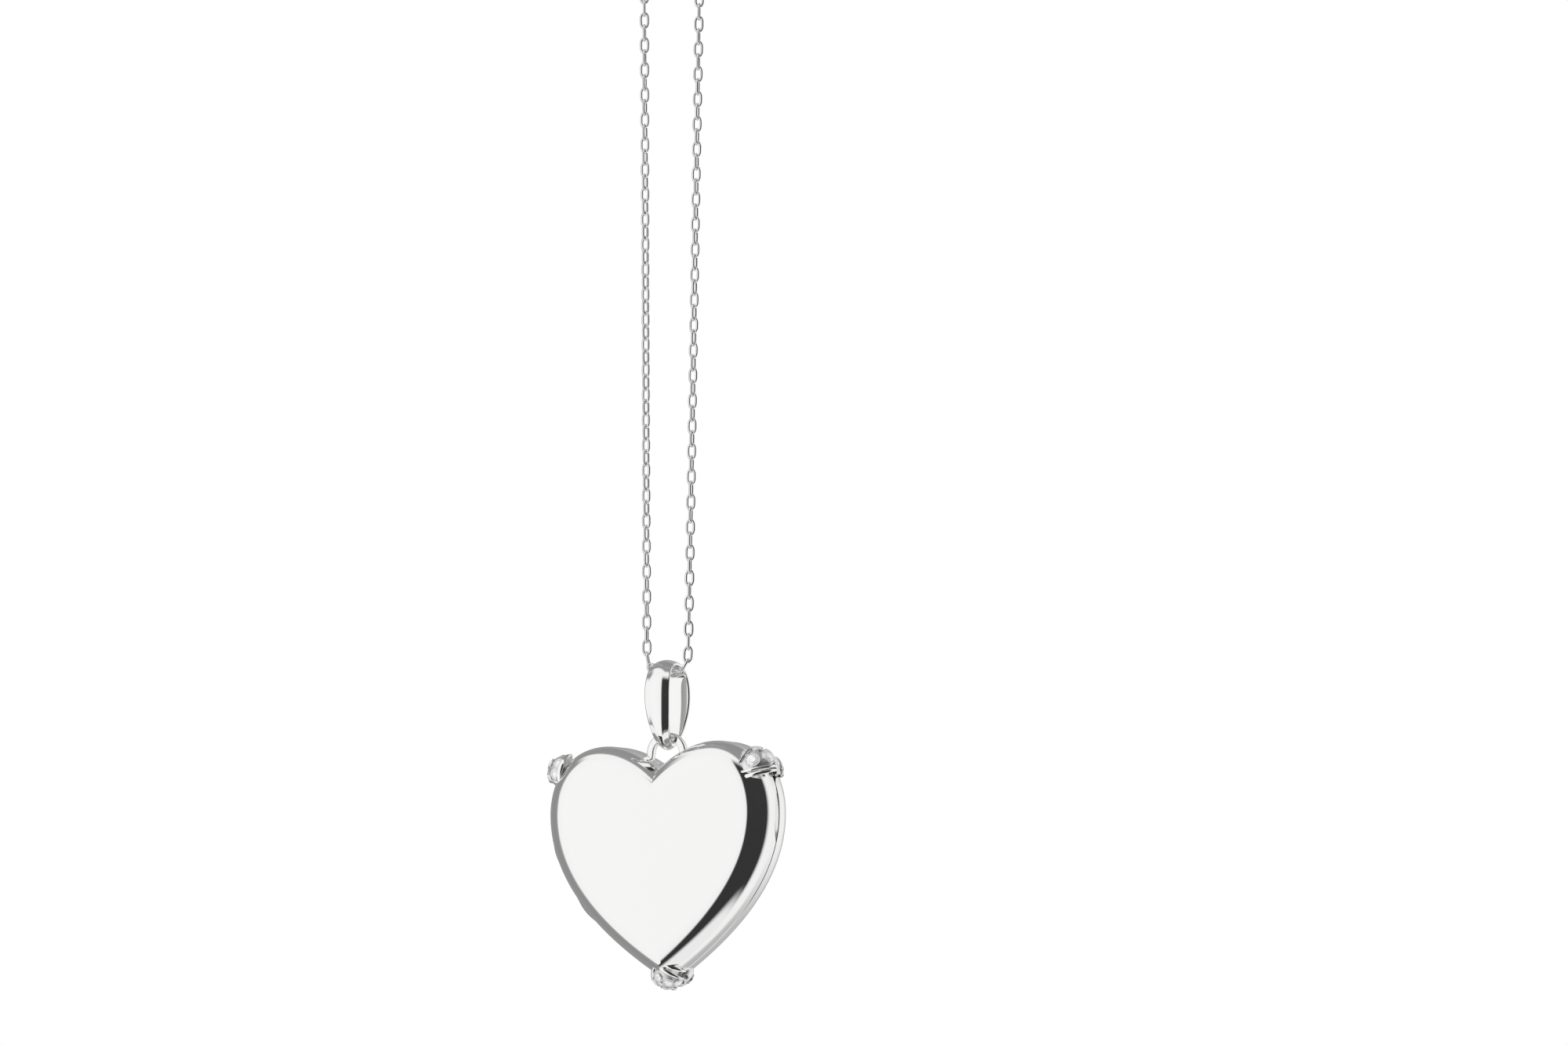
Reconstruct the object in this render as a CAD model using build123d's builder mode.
"""Heart locket on a fine cable chain, hung from the spring ring of its clasp.

All sizes are in millimetres.  +Z is up, +X is to the right as seen from the front, and the
front face looks along -Y.  The origin is the hanging point, inside the top of the spring ring.
"""
import os
from math import cos, pi, radians, sin, sqrt

from build123d import *

os.makedirs("parts", exist_ok=True)

# ---------------------------------------------------------------- driving dimensions
# clasp (spring ring) and jump rings
RING_R = 2.85             # centre line radius of the spring ring
RING_TUBE_R = 0.60        # outer radius of its tube
BORE_R = 0.40             # inner radius of its tube
BOLT_R = 0.36             # bolt that slides inside the tube
GAP_START, GAP_END = 28, 62          # stretch of the ring that the bolt closes, degrees
BOLT_TRAVEL = 35          # degrees that the bolt slides back
BOLT_GRIP = 5             # depth of the socket that the bolt's end rests in, degrees
BOLT_TAIL = 92            # where the bolt ends inside the tube, degrees
KNOB_AT = 74              # thumb knob on the bolt, degrees
KNOB_R = 0.26
KNOB_H = 0.75
SPRING_END = 250          # closed end of the spring inside the tube, degrees
SPRING_R = 0.30
EYE_AT = 232              # soldered eye on the outside of the ring, degrees
EYE_R, EYE_WIRE_R = 0.44, 0.17
JUMP_R, JUMP_WIRE_R = 0.80, 0.19     # ring in the eye
END_AT = -33              # where the other end ring hooks over the spring ring, degrees
END_R, END_WIRE_R = 1.10, 0.20
END_TILT = 25             # lean of that ring, degrees
END_DROP = 0.02           # its centre below the spring ring's centre line, along the lean
PLAY = 0.03               # between hooked pieces

# chain
CHAIN_D = 0.85            # width of a link, so of the plain tube that stands for the chain
BAIL_TOP = -64.5          # highest point of the bail
STRAND_X = 1.90           # half the distance between the strands just above the bail
UNDER_X = 1.35            # half the stretch that lies under the bail's top
TURN_UP = 1.10            # height over which a strand turns up beside the bail
CHAIN_PLAY = 0.08

# bail: an almond loop in the Y-Z plane
BAIL_H = 7.4
BAIL_HALF_DEPTH = 2.55
BAIL_WALL = 0.52
BAIL_FOOT_WALL = 0.60
BAIL_HALF_W = 1.15        # half its width at the widest
BAIL_TOP_HALF_W = 1.00
BAIL_FOOT_HALF_W = 0.52

# top loop, on the back half
LOOP_R = 1.15             # inner radius
LOOP_BAND = 0.62
LOOP_T = 0.70
LOOP_LEG = 2.3            # height of its legs, which run into the lobes
LOOP_SPLAY = 0.35         # how far each leg leans out
HANG_TILT = 2             # the locket hangs turned by this on the bail, right side up, degrees

# heart
NOTCH_Z = BAIL_TOP - 9.15 # bottom of the V between the lobes
PART_Y = -LOOP_T / 2      # plane where the two halves meet
HALF_GAP = 0.02           # each half stays this far from that plane
HALF_DEPTH = 3.2          # depth of one half at its middle
EDGE_ROUND = 2.1          # rounding from side wall to face
WALL_K = 0.932            # inner outline as a fraction of the outer one
WALL = 0.6                # wall behind the face

# inner plates
PLATE_T = 0.5
OPENING_KX, OPENING_KZ = 0.80, 0.735  # picture opening as a fraction of the outline
BACK_POCKET = 1.0         # depth of a picture's floor behind the rim
FRONT_POCKET = 0.6
POCKET_WALL = 0.3
FLOOR_T = 0.25
PHOTO_T = 0.15
PHOTO_PLAY = 0.05
LIP_H = 0.6               # closing lip that stands proud of the front rim
LIP_T = 0.30
LIP_GAP = 0.12

# hinge on the lower left side
HINGE_T = 0.34            # place along the side curve, 0 at the widest point and 1 at the tip
HINGE_IN = 0.20           # axis inside the outline
BARREL_R = 0.62
BARREL_HALF = 1.75
KNUCKLE_GAP = 0.08
SPINDLE_HALF = 4.0
POD_END_R = 0.14
PIN_R = 0.25
PIN_HALF = 2.6
PIN_PLAY = 0.03
SWEEP = 0.12              # clearance around a knuckle of the other half

# stone clusters: domes over the edge of the heart, each with its (x, z) from the notch and radius
CLUSTER_IN = 1.15         # dome centre's distance from the parting plane
DOMES = {
    "front": {"right": ((8.60, -0.45), 1.85), "left": ((-8.85, 0.15), 1.45), "tip": ((0.15, -17.0), 1.50)},
    "back": {"right": ((8.45, -0.55), 1.55), "left": ((-8.45, -0.10), 1.35), "tip": ((0.05, -16.9), 1.40)},
}
CLUSTER_PLAY = 0.26       # round the overhanging cluster, in the back half
RIBBON_T = 0.42
RIBBON_PROUD = 0.12
STONE_R = 0.42
STONE_SINK = 0.07         # girdle below the dome's surface

# finger scoops at the parting line
SCOOP_LEN = 4.8
SCOOP_H = 1.0
SCOOP_DEEP = 0.45
SCOOP_Z = -4.3            # below the notch
DIP_LEN = 3.5
DIP_DEEP = 0.35
DIP_H = 0.8
DIP_X = 5.35

# half outline, from the notch over the lobe and down to the tip; (0, 0) is the notch
LOBE_IN = [(0, 0), (1.3, 1.1), (3.1, 2.12), (5.0, 2.12)]
SHOULDER = [(5.0, 2.12), (8.05, 2.12), (10.15, -0.3), (10.15, -3.8)]
SIDE = [(10.15, -3.8), (10.15, -9.2), (6.0, -13.9), (0, -17.8)]
MIDDLE_Z = -7.8           # outlines shrink about this height


# ---------------------------------------------------------------- shared geometry
def bezier(points, t):
    """Point and unit direction at t on a cubic given by four (x, z) points."""
    weights = ((1 - t) ** 3, 3 * t * (1 - t) ** 2, 3 * t * t * (1 - t), t ** 3)
    place = [sum(w * p[i] for w, p in zip(weights, points)) for i in (0, 1)]
    steps = ((1 - t) ** 2, 2 * t * (1 - t), t * t)
    run = [sum(s * (points[k + 1][i] - points[k][i]) for k, s in enumerate(steps)) for i in (0, 1)]
    length = sqrt(run[0] ** 2 + run[1] ** 2)
    return place, (run[0] / length, run[1] / length)


def shrink(points, kx, kz):
    return [(x * kx, MIDDLE_Z + (z - MIDDLE_Z) * kz) for x, z in points]


def seat(y):
    """Plane of the heart's drawing at height y: local x, y are X, Z from the notch."""
    return Plane(origin=(0, y, NOTCH_Z), x_dir=(1, 0, 0), z_dir=(0, -1, 0))


def heart_slab(kx, kz, y_front, y_back):
    """Heart outline made solid between two Y planes."""
    with BuildPart() as slab:
        with BuildSketch(seat(y_back)):
            with BuildLine():
                for part in (LOBE_IN, SHOULDER, SIDE):
                    Bezier(*shrink(part, kx, kz))
                mirror(about=Plane.YZ)
            make_face()
        extrude(amount=y_back - y_front)
    return slab.part


def pillow(k, depth, rounding):
    """Front half of the heart as a solid, with a crease where the two rounded lobes meet."""
    past = 3
    notch, tip = shrink([LOBE_IN[0], SIDE[3]], k, k)
    notch_run = (LOBE_IN[1][0], LOBE_IN[1][1])
    tip_run = (SIDE[2][0] - SIDE[3][0], SIDE[2][1] - SIDE[3][1])
    above = (-past, notch[1] - past * notch_run[1] / notch_run[0])
    below = (-past, tip[1] - past * tip_run[1] / tip_run[0])
    with BuildPart() as lobe:
        with BuildSketch(seat(PART_Y)):
            with BuildLine():
                Line(above, notch)
                for part in (LOBE_IN, SHOULDER, SIDE):
                    Bezier(*shrink(part, k, k))
                Line(tip, below)
                Line(below, above)
            make_face()
        extrude(amount=depth)
        rim = lobe.faces().sort_by(Axis.Y)[0].edges()
        fillet(rim.sort_by(Axis.X)[1:], rounding)
        with Locations((30, PART_Y - 10, NOTCH_Z - 10)):
            Box(60, 60, 60, mode=Mode.INTERSECT)
        mirror(about=Plane.YZ)
    return lobe.part


def to_back(shape):
    """The same shape, mirrored to the back half."""
    return mirror(shape, about=Plane(origin=(0, PART_Y, 0), z_dir=(0, 1, 0)), mode=Mode.PRIVATE)


def half_space(sign):
    """Block that holds everything on one side of the parting gap: -1 front, +1 back."""
    size = 60
    return Pos(0, PART_Y + sign * (HALF_GAP + size / 2), NOTCH_Z - 8) * Box(size, size, size)


front_body = pillow(1.0, HALF_DEPTH, EDGE_ROUND)
front_hollow = pillow(WALL_K, HALF_DEPTH - WALL, EDGE_ROUND - 0.3)
back_body = to_back(front_body)
back_hollow = to_back(front_hollow)
front_side = half_space(-1)
back_side = half_space(1)

# hinge axis, tangent to the left side
(side_x, side_z), (run_x, run_z) = bezier(SIDE, HINGE_T)
hinge_dir = Vector(-run_x, 0, run_z)
hinge_out = Vector(run_z, 0, run_x)
hinge_at = Vector(-side_x, PART_Y, NOTCH_Z + side_z) - hinge_out * HINGE_IN
hinge_axis = Axis(hinge_at, hinge_dir)
hinge_plane = Plane(origin=hinge_at, x_dir=hinge_dir, z_dir=(0, -1, 0))


def turned(outline):
    """Solid of revolution about the hinge axis from (along, radius) points."""
    with BuildPart() as solid:
        with BuildSketch(hinge_plane):
            with BuildLine():
                Polyline(*outline, close=True)
            make_face()
        revolve(axis=hinge_axis)
    return solid.part


def pod(sign, grow):
    """Tapered outer knuckle on one side of the barrel, grown by a clearance."""
    near = BARREL_HALF + KNUCKLE_GAP - grow
    far = SPINDLE_HALF + grow
    with BuildPart() as solid:
        with BuildSketch(hinge_plane):
            with BuildLine():
                Line((sign * near, 0), (sign * near, BARREL_R + grow))
                ThreePointArc(
                    (sign * near, BARREL_R + grow),
                    (sign * (near + far) / 2, BARREL_R * 0.84 + grow),
                    (sign * far, POD_END_R + grow),
                )
                Line((sign * far, POD_END_R + grow), (sign * far, 0))
                Line((sign * far, 0), (sign * near, 0))
            make_face()
        revolve(axis=hinge_axis)
    return solid.part


def barrel(grow):
    half = BARREL_HALF + grow
    return turned([(-half, 0), (-half, BARREL_R + grow), (half, BARREL_R + grow), (half, 0)])


def dome(at, r, sign):
    """Sphere of a stone cluster over the edge, on the front (-1) or the back (+1)."""
    return Pos(at[0], PART_Y + sign * CLUSTER_IN, NOTCH_Z + at[1]) * Sphere(r)


def slab_across(at, sign, tilt, low, high):
    """Slab through a cluster, tilted about Y, between two heights measured from its centre."""
    middle = Pos(at[0], PART_Y + sign * CLUSTER_IN, NOTCH_Z + at[1]) * Rot(0, tilt, 0)
    return middle * Pos(0, 0, (low + high) / 2) * Box(8, 8, high - low)


def stones(at, r, sign, directions):
    """Round brilliant stones sunk in a cluster, one for each (x, away from the gap, z)."""
    with BuildPart() as cut:
        for x, y, z in directions:
            out = Vector(x, sign * y, z).normalized()
            centre = Vector(at[0], PART_Y + sign * CLUSTER_IN, NOTCH_Z + at[1])
            across = out.cross(Vector(0, 0, 1)).normalized()
            drawing = Plane(origin=centre + out * (r - STONE_SINK), x_dir=across,
                            z_dir=across.cross(out))
            with BuildSketch(drawing):
                with BuildLine():
                    Polyline((0, 0.16), (0.58 * STONE_R, 0.16), (STONE_R, 0.02), (STONE_R, -0.02),
                             (0, -0.40), close=True)
                make_face()
            revolve(axis=Axis(drawing.origin, out))
    return cut.part


def ring_wire(centre, plane_x, plane_z, radius, wire_r, start=0, sweep_angle=360, bore_r=0):
    """Round wire or tube bent to a circle, or to part of one, measured from plane_x."""
    bend = Plane(origin=centre, x_dir=plane_x, z_dir=plane_z)
    with BuildPart() as wire:
        with BuildLine(bend) as path:
            if sweep_angle == 360:
                CenterArc((0, 0), radius, 0, 360)
            else:
                CenterArc((0, 0), radius, start, sweep_angle)
        with BuildSketch(Plane(origin=path.line @ 0, z_dir=path.line % 0)):
            Circle(wire_r)
            if bore_r:
                Circle(bore_r, mode=Mode.SUBTRACT)
        sweep()
    return wire.part


# ---------------------------------------------------------------- heart shells
# where the front half's right cluster overhangs, and the two finger scoops
right_at, right_r = DOMES["front"]["right"]
overhang = dome(right_at, right_r + CLUSTER_PLAY, -1)
scoop_r = (SCOOP_LEN ** 2 / 4 + SCOOP_H ** 2) / (2 * SCOOP_H)
dip_r = (DIP_LEN ** 2 / 4 + DIP_DEEP ** 2) / (2 * DIP_DEEP)
scoop = Pos(SIDE[0][0] - SCOOP_DEEP + 1, PART_Y + scoop_r - SCOOP_H, NOTCH_Z + SCOOP_Z) * (
    Rot(0, 90, 0) * Cylinder(scoop_r, 2))
dip = Pos(DIP_X, PART_Y + DIP_H / 2, NOTCH_Z + LOBE_IN[3][1] - DIP_DEEP + dip_r) * (
    Rot(90, 0, 0) * Cylinder(dip_r, DIP_H))

FRONT_STONES = {
    "right": [(0.05, 0.80, 0.60), (0.62, 0.62, 0.48), (0.45, 0.15, 0.88), (0.93, 0.10, 0.35)],
    "left": [(-0.72, 0.68, -0.10), (-0.80, 0.30, 0.52)],
    "tip": [(-0.45, 0.62, -0.64), (0.12, 0.45, -0.88), (0.66, 0.40, -0.64)],
}
BACK_STONES = {
    "right": [(0.55, 0.55, 0.62)],
    "left": [(-0.78, 0.55, 0.20)],
    "tip": [(0.0, 0.60, -0.80)],
}
SIDES = ("right", "left", "tip")
gems = {
    (side, half): stones(*DOMES[half][side], sign, table[side])
    for half, sign, table in (("front", -1, FRONT_STONES), ("back", 1, BACK_STONES))
    for side in SIDES
}

with BuildPart() as front_shell:
    add(front_body)
    add(front_hollow, mode=Mode.SUBTRACT)
    add(front_side, mode=Mode.INTERSECT)
    add(pod(-1, SWEEP), mode=Mode.SUBTRACT)
    add(pod(1, SWEEP), mode=Mode.SUBTRACT)
    add(barrel(0), mode=Mode.SUBTRACT)
    add(scoop, mode=Mode.SUBTRACT)
    for side in SIDES:
        add(gems[side, "front"], mode=Mode.SUBTRACT)

with BuildPart() as back_shell:
    add(back_body)
    add(back_hollow, mode=Mode.SUBTRACT)
    add(back_side, mode=Mode.INTERSECT)
    add(barrel(SWEEP), mode=Mode.SUBTRACT)
    add(pod(-1, 0), mode=Mode.SUBTRACT)
    add(pod(1, 0), mode=Mode.SUBTRACT)
    add(overhang, mode=Mode.SUBTRACT)
    add(dip, mode=Mode.SUBTRACT)
    for side in SIDES:
        add(gems[side, "back"], mode=Mode.SUBTRACT)

# ---------------------------------------------------------------- inner plates and pictures
lip_out_kx = OPENING_KX - LIP_GAP / SIDE[0][0]
lip_out_kz = OPENING_KZ - LIP_GAP / -MIDDLE_Z
lip_in_kx = lip_out_kx - LIP_T / SIDE[0][0]
lip_in_kz = lip_out_kz - LIP_T / -MIDDLE_Z
wall_kx = POCKET_WALL / SIDE[0][0]
wall_kz = POCKET_WALL / -MIDDLE_Z
play_k = PHOTO_PLAY / -MIDDLE_Z
hinge_room = turned([(-SPINDLE_HALF - 0.3, 0), (-SPINDLE_HALF - 0.3, BARREL_R + SWEEP),
                     (SPINDLE_HALF + 0.3, BARREL_R + SWEEP), (SPINDLE_HALF + 0.3, 0)])

with BuildPart() as front_inner_plate:
    front_rim_y = PART_Y - HALF_GAP
    add(heart_slab(WALL_K, WALL_K, front_rim_y - PLATE_T, front_rim_y))
    add(heart_slab(lip_out_kx + wall_kx, lip_out_kz + wall_kz,
                   PART_Y - FRONT_POCKET - FLOOR_T, front_rim_y))
    add(heart_slab(lip_out_kx, lip_out_kz, front_rim_y, PART_Y + LIP_H))
    add(heart_slab(lip_in_kx, lip_in_kz, PART_Y - FRONT_POCKET, PART_Y + LIP_H),
        mode=Mode.SUBTRACT)
    add(hinge_room, mode=Mode.SUBTRACT)

with BuildPart() as back_inner_plate:
    back_rim_y = PART_Y + HALF_GAP
    add(heart_slab(WALL_K, WALL_K, back_rim_y, back_rim_y + PLATE_T))
    add(heart_slab(OPENING_KX + wall_kx, OPENING_KZ + wall_kz,
                   back_rim_y, PART_Y + BACK_POCKET + FLOOR_T))
    add(heart_slab(OPENING_KX, OPENING_KZ, back_rim_y, PART_Y + BACK_POCKET), mode=Mode.SUBTRACT)
    add(hinge_room, mode=Mode.SUBTRACT)
    add(overhang, mode=Mode.SUBTRACT)

with BuildPart() as front_photo:
    add(heart_slab(lip_in_kx - play_k, lip_in_kz - play_k,
                   PART_Y - FRONT_POCKET, PART_Y - FRONT_POCKET + PHOTO_T))

with BuildPart() as back_photo:
    add(heart_slab(OPENING_KX - play_k, OPENING_KZ - play_k,
                   PART_Y + BACK_POCKET - PHOTO_T, PART_Y + BACK_POCKET))

# ---------------------------------------------------------------- hinge
with BuildPart() as front_knuckle:
    add(barrel(0))
    add(turned([(-9, 0), (-9, PIN_R + PIN_PLAY), (9, PIN_R + PIN_PLAY), (9, 0)]),
        mode=Mode.SUBTRACT)

hinge_pin_solid = turned([(-PIN_HALF, 0), (-PIN_HALF, PIN_R), (PIN_HALF, PIN_R), (PIN_HALF, 0)])

with BuildPart() as back_knuckles:
    add(pod(-1, 0))
    add(pod(1, 0))
    add(hinge_pin_solid, mode=Mode.SUBTRACT)

with BuildPart() as hinge_pin:
    add(hinge_pin_solid)

# ---------------------------------------------------------------- stone clusters
# slab of each ribbon: tilt about Y, and its two heights from the dome's centre
RIBBONS = {
    "right": (-9, -0.42 - RIBBON_T, -0.42),
    "left": (-75, -0.15 - RIBBON_T, -0.15),
    "tip": (38, -0.10, -0.10 + RIBBON_T),
}
BEYOND = 4                # past a dome's surface


def cluster_piece(side, half, kind):
    """Pave setting or polished ribbon of one cluster, on one half of the locket."""
    at, r = DOMES[half][side]
    sign = -1 if half == "front" else 1
    tilt, low, high = RIBBONS[side]
    with BuildPart() as solid:
        if kind == "ribbon":
            add(dome(at, r + RIBBON_PROUD, sign))
            add(slab_across(at, sign, tilt, low, high), mode=Mode.INTERSECT)
        elif side == "tip" and half == "front":
            add(dome(at, r, sign))
            add(slab_across(at, sign, tilt, -BEYOND, low), mode=Mode.INTERSECT)
        else:
            add(dome(at, r, sign))
            if half == "front" or side == "right":
                add(slab_across(at, sign, tilt, high, BEYOND), mode=Mode.INTERSECT)
        if half == "front":
            add(front_body, mode=Mode.SUBTRACT)
            if side != "right":
                add(front_side, mode=Mode.INTERSECT)
        else:
            add(back_body, mode=Mode.SUBTRACT)
            add(back_side, mode=Mode.INTERSECT)
            if side == "right":
                add(overhang, mode=Mode.SUBTRACT)
        add(gems[side, half], mode=Mode.SUBTRACT)
    return solid.part


with BuildPart() as front_right_setting:
    add(cluster_piece("right", "front", "setting"))

with BuildPart() as front_right_ribbon:
    add(cluster_piece("right", "front", "ribbon"))

with BuildPart() as front_right_stones:
    add(gems["right", "front"])

with BuildPart() as front_left_setting:
    add(cluster_piece("left", "front", "setting"))

with BuildPart() as front_left_ribbon:
    add(cluster_piece("left", "front", "ribbon"))

with BuildPart() as front_left_stones:
    add(gems["left", "front"])

with BuildPart() as front_tip_setting:
    add(cluster_piece("tip", "front", "setting"))

with BuildPart() as front_tip_ribbon:
    add(cluster_piece("tip", "front", "ribbon"))

with BuildPart() as front_tip_stones:
    add(gems["tip", "front"])

with BuildPart() as back_right_setting:
    add(cluster_piece("right", "back", "setting"))

with BuildPart() as back_right_ribbon:
    add(cluster_piece("right", "back", "ribbon"))

with BuildPart() as back_left_setting:
    add(cluster_piece("left", "back", "setting"))

with BuildPart() as back_tip_setting:
    add(cluster_piece("tip", "back", "setting"))

with BuildPart() as back_stones:
    for side in SIDES:
        add(gems[side, "back"])

# ---------------------------------------------------------------- top loop and bail
foot_z = BAIL_TOP - BAIL_H + BAIL_FOOT_WALL
loop_z = foot_z - sqrt((LOOP_R - PLAY) ** 2 - BAIL_FOOT_HALF_W ** 2)
print("loop centre z", round(loop_z, 4))

with BuildPart() as top_loop:
    with BuildSketch(Plane(origin=(0, 0, loop_z), x_dir=(1, 0, 0), z_dir=(0, -1, 0))):
        for r, mode in ((LOOP_R + LOOP_BAND, Mode.ADD), (LOOP_R, Mode.SUBTRACT)):
            Circle(r, mode=mode)
            Polygon((r, 0), (-r, 0), (-r - LOOP_SPLAY, -LOOP_LEG), (r + LOOP_SPLAY, -LOOP_LEG),
                    align=None, mode=mode)
    extrude(amount=LOOP_T / 2, both=True)
    add(back_side, mode=Mode.INTERSECT)
    add(back_body, mode=Mode.SUBTRACT)

bail_side = Plane(origin=(0, 0, BAIL_TOP), x_dir=(0, 1, 0), z_dir=(1, 0, 0))
bail_front = Plane(origin=(0, 0, BAIL_TOP), x_dir=(1, 0, 0), z_dir=(0, -1, 0))
WIDEST = 0.4 * BAIL_H     # how far down the bail is deepest
deep = BAIL_HALF_DEPTH
room = BAIL_HALF_DEPTH - BAIL_WALL
floor_drop = BAIL_H - BAIL_FOOT_WALL
FLAT = 0.45               # half the flat stretch that the loop rests on

with BuildPart() as bail:
    with BuildSketch(bail_side):
        with BuildLine():
            Bezier((0, 0), (0.65 * deep, 0), (deep, -0.45 * WIDEST), (deep, -WIDEST))
            Bezier((deep, -WIDEST), (deep, -0.63 * BAIL_H), (0.65 * deep, -BAIL_H), (0, -BAIL_H))
            mirror(about=Plane.YZ)
        make_face()
        with BuildLine():
            Bezier((0, -BAIL_WALL), (0.72 * room, -BAIL_WALL), (room, -0.5 * WIDEST),
                   (room, -WIDEST))
            Bezier((room, -WIDEST), (room, -0.6 * BAIL_H), (FLAT + 0.5, -floor_drop),
                   (FLAT, -floor_drop))
            Line((FLAT, -floor_drop), (0, -floor_drop))
            mirror(about=Plane.YZ)
        make_face(mode=Mode.SUBTRACT)
    extrude(amount=2 * BAIL_HALF_W, both=True)
    with BuildSketch(bail_front):
        with BuildLine():
            ThreePointArc((BAIL_TOP_HALF_W, 0), (0.97 * BAIL_HALF_W, -WIDEST),
                          (BAIL_FOOT_HALF_W, -BAIL_H))
            Line((BAIL_FOOT_HALF_W, -BAIL_H), (-BAIL_FOOT_HALF_W, -BAIL_H))
            ThreePointArc((-BAIL_FOOT_HALF_W, -BAIL_H), (-0.97 * BAIL_HALF_W, -WIDEST),
                          (-BAIL_TOP_HALF_W, 0))
            Line((-BAIL_TOP_HALF_W, 0), (BAIL_TOP_HALF_W, 0))
        make_face()
    extrude(amount=2 * BAIL_HALF_DEPTH, both=True, mode=Mode.INTERSECT)

# ---------------------------------------------------------------- clasp
ring_centre = Vector(0, 0, RING_TUBE_R - RING_R)
across_x, to_front = (1, 0, 0), (0, -1, 0)


def on_ring(angle, radius):
    return ring_centre + Vector(cos(radians(angle)), 0, sin(radians(angle))) * radius


eye_at = on_ring(EYE_AT, RING_R + RING_TUBE_R + EYE_R - EYE_WIRE_R)

with BuildPart() as clasp_ring:
    add(ring_wire(ring_centre, across_x, to_front, RING_R, RING_TUBE_R,
                  GAP_END, SPRING_END - GAP_END, BORE_R))
    add(ring_wire(ring_centre, across_x, to_front, RING_R, RING_TUBE_R,
                  SPRING_END, 360 + GAP_START - BOLT_GRIP - SPRING_END))
    add(ring_wire(ring_centre, across_x, to_front, RING_R, RING_TUBE_R,
                  GAP_START - BOLT_GRIP, BOLT_GRIP, BORE_R))
    add(ring_wire(eye_at, across_x, to_front, EYE_R, EYE_WIRE_R))
    add(ring_wire(ring_centre, across_x, to_front, RING_R + 0.45, KNOB_R + 0.14,
                  KNOB_AT - 6, BOLT_TRAVEL + 12), mode=Mode.SUBTRACT)

with BuildPart() as clasp_bolt:
    add(ring_wire(ring_centre, across_x, to_front, RING_R, BOLT_R,
                  GAP_START - 3, BOLT_TAIL - GAP_START + 3))
    knob_axis = on_ring(KNOB_AT, 1) - ring_centre
    with BuildSketch(Plane(origin=on_ring(KNOB_AT, RING_R), z_dir=knob_axis)):
        Circle(KNOB_R)
    extrude(amount=RING_TUBE_R + KNOB_H)

with BuildPart() as clasp_spring:
    add(ring_wire(ring_centre, across_x, to_front, RING_R, SPRING_R,
                  BOLT_TAIL + BOLT_TRAVEL + 1, SPRING_END - BOLT_TAIL - BOLT_TRAVEL - 1.5))

jump_z = eye_at.Z - EYE_R + EYE_WIRE_R + JUMP_WIRE_R + PLAY - JUMP_R
with BuildPart() as jump_ring:
    add(ring_wire((eye_at.X, 0, jump_z), (0, 1, 0), (1, 0, 0), JUMP_R, JUMP_WIRE_R))

lean = Vector(sin(radians(END_TILT)), 0, -cos(radians(END_TILT)))
end_centre = on_ring(END_AT, RING_R) + lean * END_DROP
end_low = end_centre + lean * END_R
with BuildPart() as end_ring:
    add(ring_wire(end_centre, (0, 1, 0), (-lean.Z, 0, lean.X), END_R, END_WIRE_R))

# ---------------------------------------------------------------- chain
under_z = BAIL_TOP - BAIL_WALL - CHAIN_D / 2 - CHAIN_PLAY
route = [
    (eye_at.X, jump_z - JUMP_R - JUMP_WIRE_R - PLAY),
    (-STRAND_X, under_z + TURN_UP),
    (-UNDER_X, under_z),
    (UNDER_X, under_z),
    (STRAND_X, under_z + TURN_UP),
    (end_low.X, end_low.Z - END_WIRE_R - PLAY),
]
radii = []
for before, corner, after in zip(route, route[1:], route[2:]):
    run_in = Vector(*corner) - Vector(*before)
    run_out = Vector(*after) - Vector(*corner)
    half_turn = radians(run_in.get_angle(run_out) / 2)
    radii.append(0.45 * min(run_in.length, run_out.length) / (sin(half_turn) / cos(half_turn)))
print("chain route", [(round(x, 3), round(z, 3)) for x, z in route])
print("chain radii", [round(r, 2) for r in radii])

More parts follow.
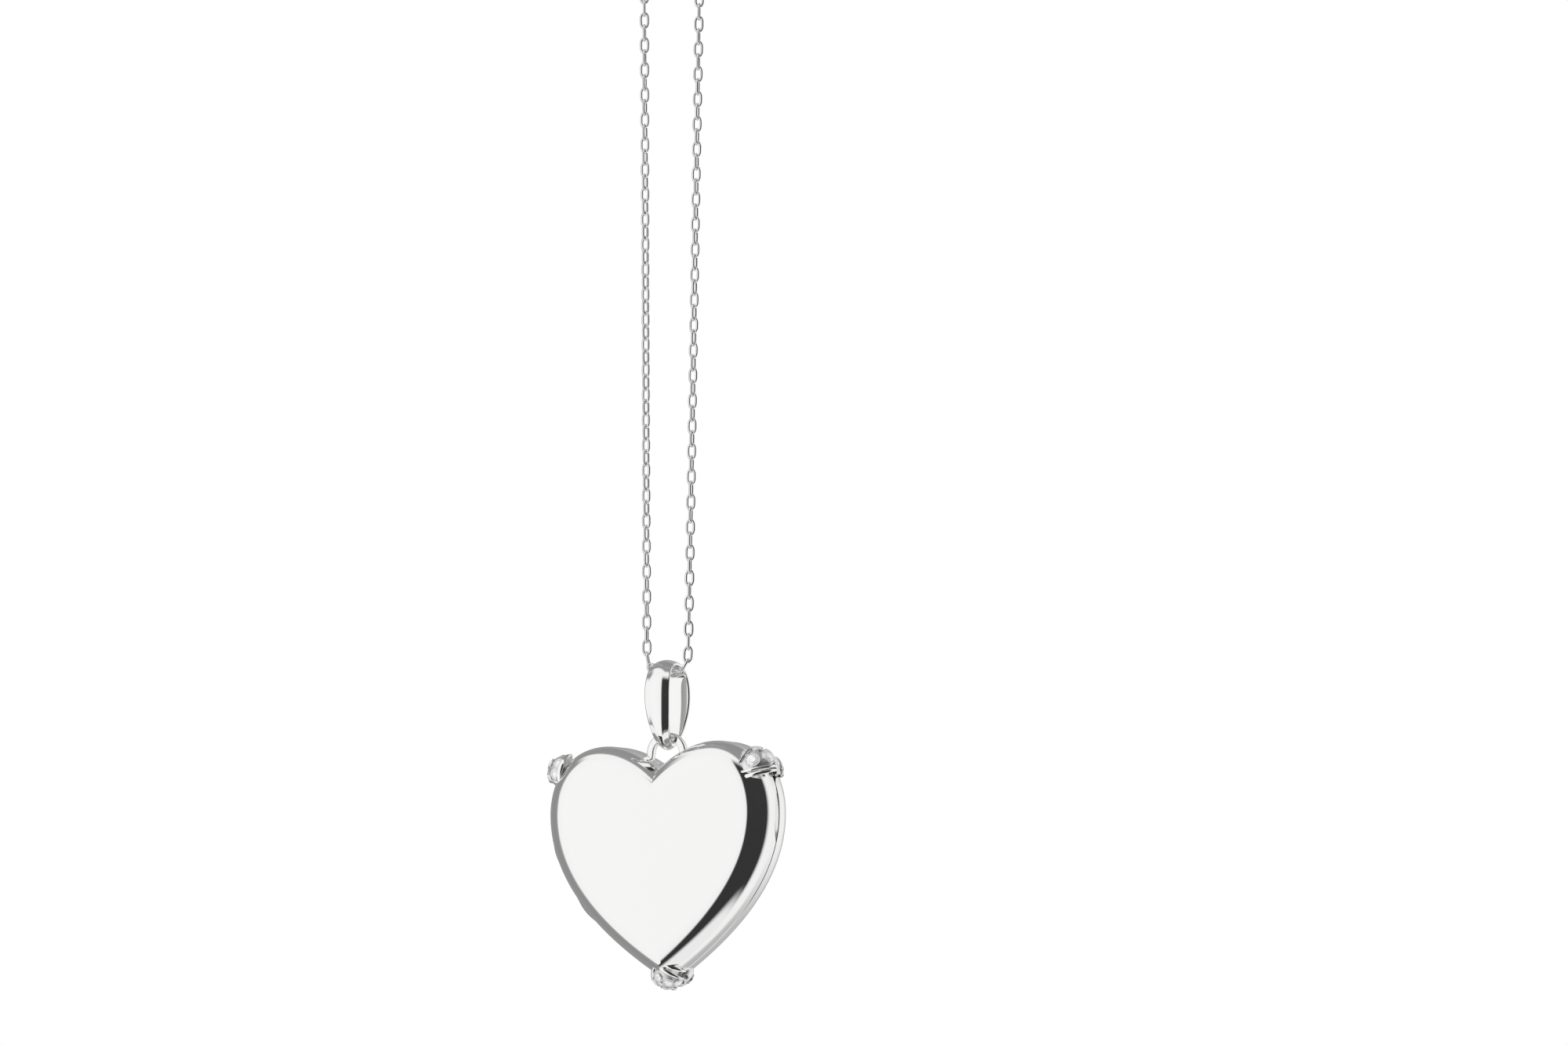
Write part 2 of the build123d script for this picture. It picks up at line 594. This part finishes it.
with BuildPart() as chain:
    with BuildLine(Plane(origin=(0, 0, 0), x_dir=(1, 0, 0), z_dir=(0, -1, 0))) as chain_line:
        FilletPolyline(*route, radius=radii)
    with BuildSketch(Plane(origin=chain_line.line @ 0, z_dir=chain_line.line % 0)):
        Circle(CHAIN_D / 2)
    sweep()
chain_length = sum(edge.length for edge in chain_line.edges())
print("chain length", round(chain_length, 2), "volume", round(chain.part.volume, 2),
      "section x length", round(pi * CHAIN_D ** 2 / 4 * chain_length, 2))

# ---------------------------------------------------------------- export
NODES = {
    "front_shell": front_shell,
    "front_inner_plate": front_inner_plate,
    "front_photo": front_photo,
    "front_knuckle": front_knuckle,
    "front_right_setting": front_right_setting,
    "front_right_ribbon": front_right_ribbon,
    "front_right_stones": front_right_stones,
    "front_left_setting": front_left_setting,
    "front_left_ribbon": front_left_ribbon,
    "front_left_stones": front_left_stones,
    "front_tip_setting": front_tip_setting,
    "front_tip_ribbon": front_tip_ribbon,
    "front_tip_stones": front_tip_stones,
    "back_shell": back_shell,
    "back_inner_plate": back_inner_plate,
    "back_photo": back_photo,
    "back_knuckles": back_knuckles,
    "back_right_setting": back_right_setting,
    "back_right_ribbon": back_right_ribbon,
    "back_left_setting": back_left_setting,
    "back_tip_setting": back_tip_setting,
    "back_stones": back_stones,
    "hinge_pin": hinge_pin,
    "top_loop": top_loop,
    "bail": bail,
    "clasp_ring": clasp_ring,
    "clasp_bolt": clasp_bolt,
    "clasp_spring": clasp_spring,
    "jump_ring": jump_ring,
    "end_ring": end_ring,
    "chain": chain,
}
UPRIGHT = ("bail", "clasp_ring", "clasp_bolt", "clasp_spring", "jump_ring", "end_ring", "chain")
hang = Pos(0, 0, loop_z) * Rot(0, -HANG_TILT, 0) * Pos(0, 0, -loop_z)
hung_hinge = Plane(hang * hinge_plane.location)
print("hinge at", [round(v, 4) for v in hung_hinge.origin], "along", [round(v, 5) for v in hung_hinge.x_dir])

for name, piece in NODES.items():
    placed = piece.part if name in UPRIGHT else hang * piece.part
    placed.label = name
    export_step(placed, f"parts/{name}.step")
